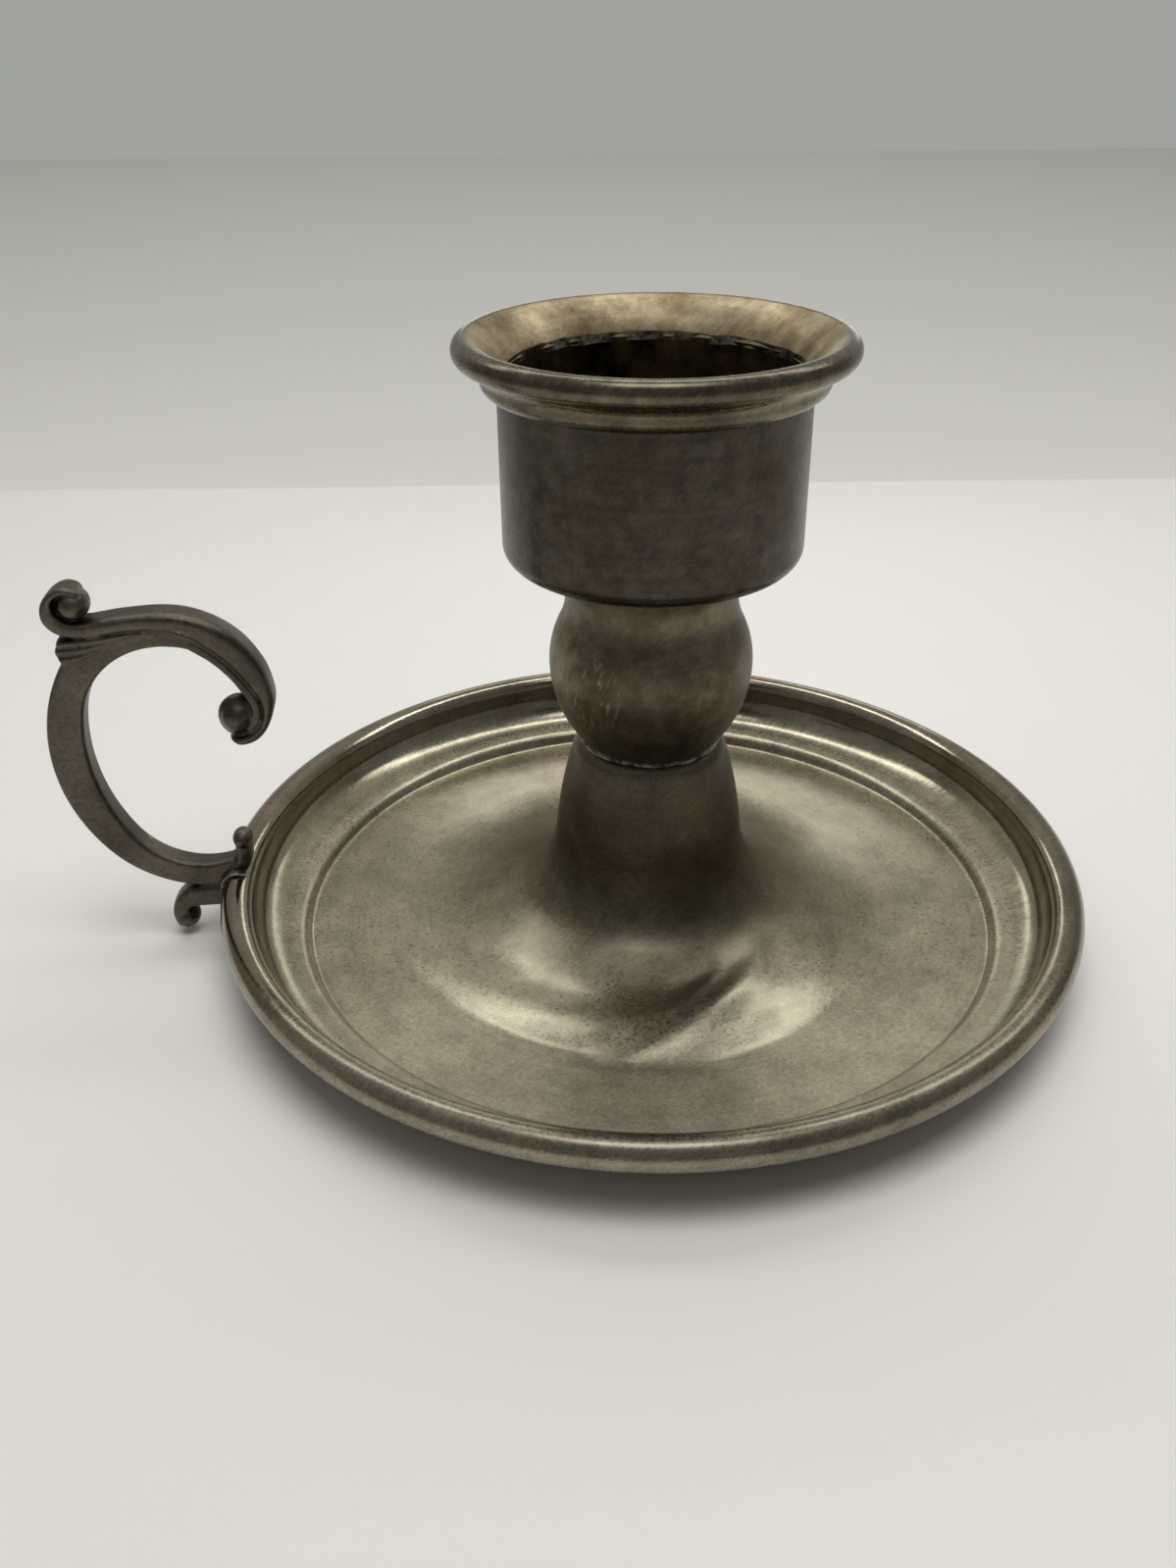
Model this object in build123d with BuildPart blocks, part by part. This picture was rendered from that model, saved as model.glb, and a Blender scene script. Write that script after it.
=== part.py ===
"""Pewter chamberstick: spun pan and bell stem, hollow knop, candle cup, mouth ring and cast scroll handle.

Lengths are millimetres and angles degrees. Z is up from the table, the candle stands on the Z axis and the
handle lies along -X. A moulding is a list of moves: (length, 0) is a straight run, (radius, turn) a tangent
bend, with left-hand bends positive.
"""
import os
from math import asin, cos, degrees, radians, sin

from build123d import *

# Spun pan, from the rolled rim inwards
pan_radius = 76.0
sheet = 1.6
rim_roll_radius = 2.7
rim_roll_angle = 280
wall_rise = 0.45
cove_radius = 6.0
ledge_width = 2.3
ledge_slope = 10
ledge_edge_radius = 2.2
step_rise = 0.6
step_slope = 65
crease_radius = 0.8

# Bell stem, drawn up out of the pan's floor
flare_lower_radius = 53.0
flare_lower_slope = 25
flare_top_height = 17.9
stem_radius = 16.4
stem_slope = 85
stem_top_height = 36.3
shoulder_radius = 3.0
shoulder_slope = 73
vent_radius = 3.0

# Hollow knop on the stem
knop_wall = 1.6
knop_radius = 17.0
knop_widest_rise = 14.3
knop_lower_radius = 20.9
knop_upper_radius = 16.5
knop_upper_slope = 27
neck_curve_radius = 9.5
neck_flare_radius = 10.0
neck_flare_slope = 39

# Candle cup on the knop
cup_radius = 24.0
cup_wall = 1.6
cup_height = 29.4
cup_corner_radius = 3.1

# Mouth ring over the cup's edge
mouth_slope = 63.6
mouth_flare_radius = 12.9
mouth_flare_angle = 33.6
lip_bead_radius = 2.0
lip_bead_angle = 195
lip_fillet_run = 0.9
cavetto_radius = 2.2
cavetto_angle = 75
ovolo_radius = 2.0
ovolo_angle = 70
skirt_depth = 2.9

# Solder in the joints
stem_solder_radius = 1.3
cup_solder_radius = 0.8
mouth_solder_radius = 0.8
mouth_solder_recess = 0.1
handle_solder_film = 0.5
handle_solder_half_width = 4.2
handle_solder_low_angle = -85
handle_solder_high_angle = 125

# Handle's finger loop, each point a reach and a rise from the middle of the rolled rim
loop_half_width = 2.6
loop_edge = 1.1
loop_outer_start = (0, -0.65)
loop_outer_moves = ((3.7, 0), (22.2, 53.5), (30.7, 71.5), (11.0, 54.9), (7.9, 0), (15.2, 70.0), (1.6, 0))
loop_inner_start = (0.3, 4.9)
loop_inner_angle = -18.9
loop_inner_moves = ((13.8, 77.8), (32.6, 43.8), (14.5, 147.3))

# Handle's thumb strap along the top of the loop, from the thumb scroll to the hook
strap_half_width = 3.0
strap_edge = 1.3
strap_depth = 3.0
strap_start = (24.1, 52.8)
strap_moves = ((5.6, -99.7), (1.2, 0), (61.7, 9.6), (13.55, 70.4), (10.8, 38.4))

# Handle's lower scroll and the curl that lies on the rim
scroll_half_width = 2.5
scroll_edge = 1.2
scroll_start = (0, -0.4)
scroll_moves = ((6.6, 0), (6.2, -92.0), (1.0, 0), (2.3, -176.0), (2.4, 0), (0.7, 88.0), (7.4, 0))
curl_half_width = 2.3
curl_edge = 1.0
curl_depth = 3.0
curl_start = (4.7, 1.0)
curl_moves = ((3.2, 0), (4.4, -90.0), (2.6, 0))

# Rolls and eyes at the scrolls' ends: middle, radius, half width and edge
thumb_roll = ((20.4, 53.25), 3.8, 3.1, 1.4)
thumb_eye = ((19.9, 53.0), 2.2, 3.7, 1.0)
hook_roll = ((-5.2, 32.4), 4.8, 3.0, 1.4)
hook_eye = ((-4.1, 32.4), 3.3, 3.7, 1.6)
curl_roll = ((-1.6, 8.3), 1.8, 2.6, 1.2)
lower_eye = ((10.45, -7.7), 1.9, 3.0, 1.0)
leaf_tip = ((21.7, 45.3), 1.6, 2.7, 0.9)


def along(slope):
    """How far a bend of unit radius reaches along by the time it has this slope."""
    return sin(radians(slope))


def across(slope):
    """How far a bend of unit radius has left its first line by the time it has this slope."""
    return 1 - cos(radians(slope))


def draw(start, heading, moves, depth=0):
    """Draws the moves, or the line parallel to them at a depth to their right, and gives its two ends."""
    ahead = Vector(cos(radians(heading)), sin(radians(heading)))
    at = Vector(*start) + Vector(ahead.Y, -ahead.X) * depth
    first = at
    for size, turn in moves:
        if turn > 0:
            piece = JernArc(at, ahead, size + depth, turn)
        elif turn < 0:
            piece = JernArc(at, ahead, size - depth, turn)
        else:
            piece = Line(at, at + ahead * size)
        at = piece @ 1
        ahead = piece % 1
    return first, at


# Heights and radii that follow from the pan's mouldings
rim_radius = pan_radius - rim_roll_radius
wall_radius = rim_radius - rim_roll_radius
ledge_edge_reach = ledge_edge_radius * (along(step_slope) - along(ledge_slope))
step_reach = crease_radius * along(step_slope) + step_rise * cos(radians(step_slope)) + ledge_edge_reach
ledge_reach = ledge_width * cos(radians(ledge_slope)) + cove_radius * (1 - along(ledge_slope))
foot_radius = wall_radius - ledge_reach - step_reach
ledge_edge_rise = ledge_edge_radius * (across(step_slope) - across(ledge_slope))
step_height = crease_radius * across(step_slope) + step_rise * along(step_slope) + ledge_edge_rise
ledge_rise = ledge_width * along(ledge_slope) + cove_radius * cos(radians(ledge_slope))
rim_height = sheet + step_height + ledge_rise + wall_rise

# The bell stem's curves, which meet at the flare's top
shoulder_drop = shoulder_radius * across(shoulder_slope)
stem_fall = across(stem_slope) - across(shoulder_slope)
stem_curve_radius = (stem_top_height - shoulder_drop - flare_top_height) / stem_fall
stem_reach = stem_curve_radius * (along(stem_slope) - along(shoulder_slope))
shoulder_start = stem_radius - stem_reach - shoulder_radius * along(shoulder_slope)
flare_fall = across(stem_slope) - across(flare_lower_slope)
flare_upper_radius = (flare_top_height - sheet - flare_lower_radius * across(flare_lower_slope)) / flare_fall
flare_reach = flare_upper_radius * (along(stem_slope) - along(flare_lower_slope))
floor_start = stem_radius + flare_reach + flare_lower_radius * along(flare_lower_slope)

pan_moves = (
    (shoulder_start - vent_radius, 0),
    (shoulder_radius, -shoulder_slope),
    (stem_curve_radius, shoulder_slope - stem_slope),
    (flare_upper_radius, stem_slope - flare_lower_slope),
    (flare_lower_radius, flare_lower_slope),
    (foot_radius - floor_start, 0),
    (crease_radius, step_slope),
    (step_rise, 0),
    (ledge_edge_radius, ledge_slope - step_slope),
    (ledge_width, 0),
    (cove_radius, 90 - ledge_slope),
    (wall_rise, 0),
    (rim_roll_radius, -rim_roll_angle),
)

with BuildPart() as pan:
    with BuildSketch(Plane.XZ):
        with BuildLine():
            top_start, top_end = draw((vent_radius, stem_top_height), 0, pan_moves)
            under_start, under_end = draw((vent_radius, stem_top_height), 0, pan_moves, sheet)
            Line(top_start, under_start)
            Line(top_end, under_end)
        make_face()
    revolve(axis=Axis.Z)

# The knop stands on the stem's flat top and its base has the same vent
knop_lower_slope = degrees(asin(knop_widest_rise / knop_lower_radius))
knop_foot_radius = knop_radius - knop_lower_radius * across(knop_lower_slope)
knop_moves = (
    (knop_lower_radius, knop_lower_slope),
    (knop_upper_radius, knop_upper_slope),
    (neck_curve_radius, -knop_upper_slope),
    (neck_flare_radius, -neck_flare_slope),
)
knop_rise = knop_upper_radius * along(knop_upper_slope) + neck_curve_radius * along(knop_upper_slope)
cup_base_height = stem_top_height + knop_widest_rise + knop_rise + neck_flare_radius * along(neck_flare_slope)
knop_top_radius = (
    knop_radius
    - (knop_upper_radius + neck_curve_radius) * across(knop_upper_slope)
    + neck_flare_radius * across(neck_flare_slope)
)
knop_start = (knop_foot_radius, stem_top_height)

with BuildPart() as knop:
    with BuildSketch(Plane.XZ):
        with BuildLine():
            low, high = draw(knop_start, 90 - knop_lower_slope, knop_moves)
            Line(high, (0, cup_base_height))
            Line((0, cup_base_height), (0, stem_top_height))
            Line((0, stem_top_height), low)
        make_face()
    revolve(axis=Axis.Z)
    with BuildSketch(Plane.XZ):
        with BuildLine():
            low, high = draw(knop_start, 90 - knop_lower_slope, knop_moves, -knop_wall)
            Line(high, (0, high.Y))
            Line((0, high.Y), (0, low.Y))
            Line((0, low.Y), low)
        make_face()
    revolve(axis=Axis.Z, mode=Mode.SUBTRACT)
    with BuildSketch(Plane.XY.offset(stem_top_height)):
        Circle(vent_radius)
    extrude(amount=knop_widest_rise, mode=Mode.SUBTRACT)

# The cup, its inside edge grooved for the solder of the mouth
cup_bore_radius = cup_radius - cup_wall
cup_top_height = cup_base_height + cup_height
seam = (cup_bore_radius, cup_top_height)
cup_moves = (
    (cup_radius - cup_corner_radius, 0),
    (cup_corner_radius, 90),
    (cup_height - cup_corner_radius, 0),
)

with BuildPart() as candle_cup:
    with BuildSketch(Plane.XZ):
        with BuildLine():
            out_start, out_end = draw((0, cup_base_height), 0, cup_moves)
            in_start, in_end = draw((0, cup_base_height), 0, cup_moves, -cup_wall)
            Line(out_start, in_start)
            Line(out_end, in_end)
        make_face()
    revolve(axis=Axis.Z)
    with BuildSketch(Plane.XZ):
        with Locations(seam):
            Circle(mouth_solder_radius)
    revolve(axis=Axis.Z, mode=Mode.SUBTRACT)

mouth_moves = (
    (mouth_flare_radius, -mouth_flare_angle),
    (lip_bead_radius, -lip_bead_angle),
    (lip_fillet_run, 0),
    (cavetto_radius, cavetto_angle),
    (ovolo_radius, -ovolo_angle),
)

with BuildPart() as mouth_ring:
    with BuildSketch(Plane.XZ):
        with BuildLine():
            lip_start, lip_end = draw(seam, mouth_slope, mouth_moves)
            Line(lip_end, (cup_radius, cup_top_height - skirt_depth))
            Line((cup_radius, cup_top_height - skirt_depth), (cup_radius, cup_top_height))
            Line((cup_radius, cup_top_height), lip_start)
        make_face()
    revolve(axis=Axis.Z)
    with BuildSketch(Plane.XZ):
        with Locations(seam):
            Circle(mouth_solder_radius)
    revolve(axis=Axis.Z, mode=Mode.SUBTRACT)

with BuildPart() as mouth_solder:
    with BuildSketch(Plane.XZ):
        with Locations(seam):
            Circle(mouth_solder_radius)
        with Locations((cup_bore_radius + mouth_solder_recess, cup_top_height)):
            Rectangle(cup_wall, cup_wall, align=(Align.MAX, Align.CENTER), mode=Mode.SUBTRACT)
    revolve(axis=Axis.Z)

with BuildPart() as stem_solder:
    with BuildSketch(Plane.XZ):
        with Locations(knop_start):
            Circle(stem_solder_radius)
    revolve(axis=Axis.Z)
    add(pan.part, mode=Mode.SUBTRACT)
    add(knop.part, mode=Mode.SUBTRACT)

with BuildPart() as cup_solder:
    with BuildSketch(Plane.XZ):
        with Locations((knop_top_radius, cup_base_height)):
            Circle(cup_solder_radius)
    revolve(axis=Axis.Z)
    add(candle_cup.part, mode=Mode.SUBTRACT)
    add(knop.part, mode=Mode.SUBTRACT)

# The handle is drawn on its own upright plane: reach from the pan's axis across, height up
handle_plane = Plane(origin=(0, 0, 0), x_dir=(-1, 0, 0), z_dir=(0, 1, 0))


def from_rim(point):
    """A point given as reach and rise from the middle of the rolled rim."""
    return rim_radius + point[0], rim_height + point[1]


def long_edges(strap):
    """The bent edges along both sides of a strap, without those across its ends."""
    sides = strap.faces().sort_by(Axis.Y)
    return (sides[0].edges() + sides[-1].edges()).filter_by(GeomType.CIRCLE)


def band(start, heading, moves, depth, half_width, edge):
    """A strap of even depth that follows the moves, its edges rounded."""
    with BuildPart() as strap:
        with BuildSketch(handle_plane):
            with BuildLine():
                near_start, near_end = draw(from_rim(start), heading, moves)
                far_start, far_end = draw(from_rim(start), heading, moves, depth)
                Line(near_start, far_start)
                Line(near_end, far_end)
            make_face()
        extrude(amount=half_width, both=True)
        fillet(long_edges(strap), radius=edge)
    return strap.part


def roll(middle, radius, half_width, edge):
    """A round boss across the handle, its edges rounded."""
    with BuildPart() as boss:
        with BuildSketch(handle_plane):
            with Locations(from_rim(middle)):
                Circle(radius)
        extrude(amount=half_width, both=True)
        fillet(boss.edges().filter_by(GeomType.CIRCLE), radius=edge)
    return boss.part


with BuildPart() as loop:
    with BuildSketch(handle_plane):
        with BuildLine():
            outer_start, outer_end = draw(from_rim(loop_outer_start), 0, loop_outer_moves)
            inner_start, inner_end = draw(from_rim(loop_inner_start), loop_inner_angle, loop_inner_moves)
            Line(outer_start, inner_start)
            Line(outer_end, inner_end)
        make_face()
    extrude(amount=loop_half_width, both=True)
    fillet(long_edges(loop), radius=loop_edge)

with BuildPart() as lower_scroll:
    with BuildSketch(handle_plane):
        with BuildLine():
            scroll_first, scroll_last = draw(from_rim(scroll_start), 0, scroll_moves)
            Line(scroll_first, scroll_last)
        make_face()
    extrude(amount=scroll_half_width, both=True)
    fillet(long_edges(lower_scroll), radius=scroll_edge)

# One casting, seated on the solder that lies round the rolled rim
with BuildPart() as handle:
    add(loop.part)
    add(lower_scroll.part)
    add(band(strap_start, 270, strap_moves, strap_depth, strap_half_width, strap_edge))
    add(band(curl_start, 180, curl_moves, curl_depth, curl_half_width, curl_edge))
    for boss in (thumb_roll, thumb_eye, hook_roll, hook_eye, curl_roll, lower_eye, leaf_tip):
        add(roll(*boss))
    with BuildSketch(handle_plane):
        with Locations(from_rim((0, 0))):
            Circle(rim_roll_radius + handle_solder_film)
    revolve(axis=Axis.Z, mode=Mode.SUBTRACT)

handle_solder_angle = degrees(asin(handle_solder_half_width / rim_radius))
handle_solder_sweep = handle_solder_high_angle - handle_solder_low_angle

solder_across = cos(radians(handle_solder_angle))
solder_aside = sin(radians(handle_solder_angle))
solder_plane = Plane(
    origin=(0, 0, 0), x_dir=(-solder_across, solder_aside, 0), z_dir=(solder_aside, solder_across, 0)
)

with BuildPart() as handle_solder:
    with BuildSketch(solder_plane):
        with BuildLine():
            rim_side = CenterArc(
                from_rim((0, 0)), rim_roll_radius, handle_solder_low_angle, handle_solder_sweep
            )
            handle_side = CenterArc(
                from_rim((0, 0)),
                rim_roll_radius + handle_solder_film,
                handle_solder_low_angle,
                handle_solder_sweep,
            )
            Line(rim_side @ 0, handle_side @ 0)
            Line(rim_side @ 1, handle_side @ 1)
        make_face()
    revolve(axis=Axis.Z, revolution_arc=handle_solder_angle + handle_solder_angle)

os.makedirs("parts", exist_ok=True)
pan.part.label = "pan"
export_step(pan.part, "parts/pan.step")
knop.part.label = "knop"
export_step(knop.part, "parts/knop.step")
candle_cup.part.label = "candle_cup"
export_step(candle_cup.part, "parts/candle_cup.step")
mouth_ring.part.label = "mouth_ring"
export_step(mouth_ring.part, "parts/mouth_ring.step")
handle.part.label = "handle"
export_step(handle.part, "parts/handle.step")
stem_solder.part.label = "stem_solder"
export_step(stem_solder.part, "parts/stem_solder.step")
cup_solder.part.label = "cup_solder"
export_step(cup_solder.part, "parts/cup_solder.step")
mouth_solder.part.label = "mouth_solder"
export_step(mouth_solder.part, "parts/mouth_solder.step")
handle_solder.part.label = "handle_solder"
export_step(handle_solder.part, "parts/handle_solder.step")
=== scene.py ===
# %% [markdown]
# # A pewter chamberstick
# A chamberstick is a candle holder to carry about the house: a dish that catches the wax, a short
# stem, a cup for the candle and a loop for one finger. This one is pewter, spun and cast in five
# pieces that are soldered together. The solids come from the CAD model, which fixes every size.
# Here each piece is made again as a finer mesh, with the dents, the ragged solder and the worn
# metal that a solid model leaves out.

# %% The frame
from math import atan2, ceil, cos, degrees, hypot, pi, radians, sin, sqrt, tan

import bmesh
import bpy
import numpy as np
from mathutils import Matrix, Vector, noise


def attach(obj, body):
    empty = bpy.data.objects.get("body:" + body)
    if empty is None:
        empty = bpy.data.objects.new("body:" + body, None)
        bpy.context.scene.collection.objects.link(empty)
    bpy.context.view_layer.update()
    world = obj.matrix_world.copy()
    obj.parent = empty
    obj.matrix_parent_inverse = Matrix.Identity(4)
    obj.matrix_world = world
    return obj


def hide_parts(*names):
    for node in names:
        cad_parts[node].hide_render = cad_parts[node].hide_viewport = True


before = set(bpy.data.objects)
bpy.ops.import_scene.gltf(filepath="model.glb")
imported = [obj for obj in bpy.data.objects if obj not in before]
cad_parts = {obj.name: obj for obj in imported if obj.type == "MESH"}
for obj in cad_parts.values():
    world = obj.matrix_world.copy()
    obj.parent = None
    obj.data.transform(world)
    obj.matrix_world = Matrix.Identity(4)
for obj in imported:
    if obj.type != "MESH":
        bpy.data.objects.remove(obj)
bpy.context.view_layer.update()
scene = bpy.context.scene
mm = 0.001

# %% [markdown]
# ## The camera
# The photograph was taken from close by, a little above the cup, so the front of the dish looks
# large. A camera that was fitted to the dish's and the cup's ellipses gives the place, the tilt
# and the lens. The handle lies along -X, and the camera is turned a few degrees from straight on.

# %% Camera
photo_height = 1599
focal_pixels = 1400
sensor_size = 36.0
camera_place = Vector((-25.3, -207.8, 149.1)) * mm
camera_turn = radians(-4.0)
camera_tilt = radians(90 - 30.48)
camera_roll = radians(-0.61)

lens = bpy.data.cameras.new("photo_lens")
lens.sensor_width = sensor_size
lens.lens = sensor_size * focal_pixels / photo_height
lens.clip_start = 5 * mm
camera = bpy.data.objects.new("photo_camera", lens)
turned = Matrix.Rotation(camera_turn, 4, "Z") @ Matrix.Rotation(camera_tilt, 4, "X")
rolled = turned @ Matrix.Rotation(camera_roll, 4, "Z")
camera.matrix_world = Matrix.Translation(camera_place) @ rolled
scene.collection.objects.link(camera)
scene.camera = camera
scene.view_settings.view_transform = "Standard"
print("lens in mm:", round(lens.lens, 1))

# %% [markdown]
# ## Colours and nodes
# Colours are written as the hex values that a colour picker shows, which are sRGB, while shader
# sockets want linear light, so one function turns the one into the other. One more function adds a
# node with its settings and its links, which keeps the materials short enough to read.

# %% Helpers for materials
def linear(code):
    """An sRGB hex code as linear red, green, blue and full alpha."""
    shares = [int(code[i:i + 2], 16) / 255 for i in (1, 3, 5)]
    return [s / 12.92 if s <= 0.04045 else ((s + 0.055) / 1.055) ** 2.4 for s in shares] + [1.0]


def add(tree, kind, settings, inputs):
    """A new node; an input that is a socket is linked, any other is set."""
    made = tree.nodes.new("ShaderNode" + kind)
    for name, value in settings.items():
        setattr(made, name, value)
    for name, value in inputs.items():
        if isinstance(value, bpy.types.NodeSocket):
            tree.links.new(value, made.inputs[name])
        else:
            made.inputs[name].default_value = value
    return made


def start_material(name):
    """An empty material with its shader; gives the material, its node tree and the shader."""
    made = bpy.data.materials.new(name)
    made.use_nodes = True
    tree = made.node_tree
    return made, tree, tree.nodes["Principled BSDF"]


print("linear mid grey:", [round(c, 3) for c in linear("#808080")])

# %% [markdown]
# ## The table and the light
# The object stands on a white table with a grey card behind it, as in a small photo box that is
# open to a dim room on the camera's side. Metal shows little but what it mirrors, so what stands
# round it matters as much as the lamps: the grey card behind, a strip lamp in front of it, a soft
# lamp overhead, a low lamp at the card's foot, and the dim room in front, which is what makes the
# front of the cup dark.

# %% Table and card
table_reach = 1250.0
card_place = 245.0
card_height = 700.0
card_half_width = 1200.0


def flat_sheet(name, corners):
    """A flat sheet of the stage with these corners in millimetres, turned square to the camera."""
    form = bmesh.new()
    form.faces.new([form.verts.new(Vector(corner) * mm) for corner in corners])
    mesh = bpy.data.meshes.new(name)
    form.to_mesh(mesh)
    form.free()
    made = bpy.data.objects.new(name, mesh)
    made.rotation_euler.z = camera_turn
    scene.collection.objects.link(made)
    return made


table = flat_sheet(
    "white_table",
    [(x * table_reach, y * table_reach, 0.0) for x, y in ((-1, -1), (1, -1), (1, 1), (-1, 1))],
)
laminate, tree, shader = start_material("white_laminate")
shader.inputs["Base Color"].default_value = linear("#DAD9D4")
shader.inputs["Roughness"].default_value = 0.5
table.data.materials.append(laminate)

# The card is only mirrored, so it hides nothing from behind; it greys upward, as painted shade
card = flat_sheet(
    "grey_card",
    [
        (x * card_half_width, card_place, z * card_height)
        for x, z in ((-1, 0), (1, 0), (1, 1), (-1, 1))
    ],
)
card.visible_camera = False
card.visible_shadow = False
paper, tree, shader = start_material("card_with_painted_shade")
place = add(tree, "TexCoord", {}, {}).outputs["Object"]
height = add(tree, "SeparateXYZ", {}, {"Vector": place}).outputs["Z"]
# Painted shade: the paper's colour darkens from 20 mm to 135 mm up the card
share = add(
    tree, "MapRange", {}, {"Value": height, "From Min": 20 * mm, "From Max": 135 * mm}
).outputs["Result"]
painted_falloff = add(
    tree,
    "Mix",
    {"data_type": "RGBA"},
    {"Factor": share, 6: linear("#DAD9D4"), 7: linear("#B8B7B2")},
).outputs[2]
tree.links.new(painted_falloff, shader.inputs["Base Color"])
shader.inputs["Roughness"].default_value = 0.5
card.data.materials.append(paper)
print("table and card:", len(table.data.polygons) + len(card.data.polygons), "faces")


# %% Lamps
def lamp(name, place, size, power, aim=(0, 0, 0)):
    """A rectangular lamp; its place, size and aim are in millimetres."""
    light = bpy.data.lights.new(name, "AREA")
    light.shape = "RECTANGLE"
    light.size = size[0] * mm
    light.size_y = size[1] * mm
    light.energy = power
    made = bpy.data.objects.new(name, light)
    made.location = Vector(place) * mm
    made.rotation_euler = (Vector(aim) * mm - made.location).to_track_quat("-Z", "Y").to_euler()
    made.visible_camera = False
    scene.collection.objects.link(made)
    return made


# The two large lamps light the table; mirrors don't see them, so they leave no hot spot
lamp("table_lamp", (65, -130, 880), (700, 500), 3.9).visible_glossy = False
lamp("far_lamp", (-60, 900, 1000), (1600, 800), 3.0, aim=(-60, 900, 0)).visible_glossy = False
lamp("strip_lamp", (20, 150, 330), (620, 50), 0.4)
lamp("top_lamp", (0, -75, 600), (300, 200), 0.5)
lamp("low_lamp", (45, 228, 110), (190, 30), 0.04, aim=(45, 0, 110))

# %% Room
bright_way = (0.0, 0.94, 0.34)
room = bpy.data.worlds.new("room")
scene.world = room
room.use_nodes = True
tree = room.node_tree
way = add(tree, "TexCoord", {}, {}).outputs["Generated"]
lean = add(
    tree, "VectorMath", {"operation": "DOT_PRODUCT"}, {0: way, 1: bright_way}
).outputs["Value"]
share = add(
    tree,
    "MapRange",
    {"interpolation_type": "SMOOTHSTEP"},
    {"Value": lean, "From Min": -0.5, "From Max": 0.9},
).outputs["Result"]
glow = add(
    tree,
    "Mix",
    {"data_type": "RGBA"},
    {"Factor": share, 6: linear("#757471"), 7: linear("#A2A3A1")},
).outputs[2]
tree.links.new(glow, tree.nodes["Background"].inputs["Color"])

# %% [markdown]
# ## Patterns of the worn metal
# A lathe leaves fine lines round the axis, cloths and fingers leave short scratches that run every
# way, and age leaves dark pits. Each is a noise that is stretched or cut: the lines read the
# radius and the height closely and the angle loosely, a scratch is noise drawn out in one
# direction, and a pit is the top of a noise alone.

# %% Patterns
line_spacing = 0.35


def round_axis(tree):
    """The place on the object, its distance from the Z axis, its height and the way outward."""
    place = add(tree, "TexCoord", {}, {}).outputs["Object"]
    parts = add(tree, "SeparateXYZ", {}, {"Vector": place}).outputs
    flat = add(tree, "CombineXYZ", {}, {"X": parts["X"], "Y": parts["Y"]}).outputs["Vector"]
    radius = add(tree, "VectorMath", {"operation": "LENGTH"}, {0: flat}).outputs["Value"]
    outward = add(tree, "VectorMath", {"operation": "NORMALIZE"}, {0: flat}).outputs["Vector"]
    return place, radius, parts["Z"], outward


def turned_lines(tree, spacing, reach):
    """Lines round the Z axis, spaced in millimetres; a smaller reach makes each run further."""
    _, radius, height, outward = round_axis(tree)
    loose = add(
        tree, "VectorMath", {"operation": "SCALE"}, {0: outward, "Scale": spacing * mm * reach}
    )
    across = add(tree, "CombineXYZ", {}, {"Z": radius}).outputs["Vector"]
    vector = add(tree, "VectorMath", {"operation": "ADD"}, {0: loose.outputs["Vector"], 1: across})
    return add(
        tree,
        "TexNoise",
        {"noise_dimensions": "4D"},
        {
            "Vector": vector.outputs["Vector"],
            "W": height,
            "Scale": 0.5 / (spacing * mm),
            "Detail": 3.0,
            "Roughness": 0.6,
        },
    ).outputs["Fac"]


def clouds(tree, size, low, high):
    """Soft patches of this size in millimetres, 0 where the noise is low and 1 where it is high."""
    place = add(tree, "TexCoord", {}, {}).outputs["Object"]
    grain = add(
        tree,
        "TexNoise",
        {},
        {"Vector": place, "Scale": 0.5 / (size * mm), "Detail": 5.0, "Roughness": 0.6},
    ).outputs["Fac"]
    return add(
        tree, "MapRange", {}, {"Value": grain, "From Min": low, "From Max": high}
    ).outputs["Result"]


def scratches(tree, width, length, lean, low=0.4, high=0.7):
    """Marks of this width and length in millimetres, leaning by degrees round X, Y and Z."""
    place = add(tree, "TexCoord", {}, {}).outputs["Object"]
    leaning = add(
        tree,
        "VectorRotate",
        {"rotation_type": "EULER_XYZ"},
        {"Vector": place, "Rotation": [radians(angle) for angle in lean]},
    ).outputs["Vector"]
    drawn = add(
        tree, "VectorMath", {"operation": "MULTIPLY"}, {0: leaning, 1: (width / length, 1.0, 1.0)}
    ).outputs["Vector"]
    grain = add(
        tree,
        "TexNoise",
        {},
        {"Vector": drawn, "Scale": 0.5 / (width * mm), "Detail": 2.0, "Distortion": 0.4},
    ).outputs["Fac"]
    return add(
        tree, "MapRange", {}, {"Value": grain, "From Min": low, "From Max": high}
    ).outputs["Result"]


print("patterns: turned lines, clouds, scratches")

# %% [markdown]
# ## Spun pewter
# Pewter is tin with a little antimony and copper: a soft, warm grey metal. The dish was spun from
# sheet on a lathe. Years of handling have dulled it to a satin, darkened the rim and left a brown
# skin on the stem, where no cloth reaches. The spinner's tool burnished the flare, so it is
# smoother than the floor, and the floor is more scratched in front, where the wax was scraped out.
# The lines are drawn a third of a millimetre apart, which is about the finest that the picture can
# show.

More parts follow.
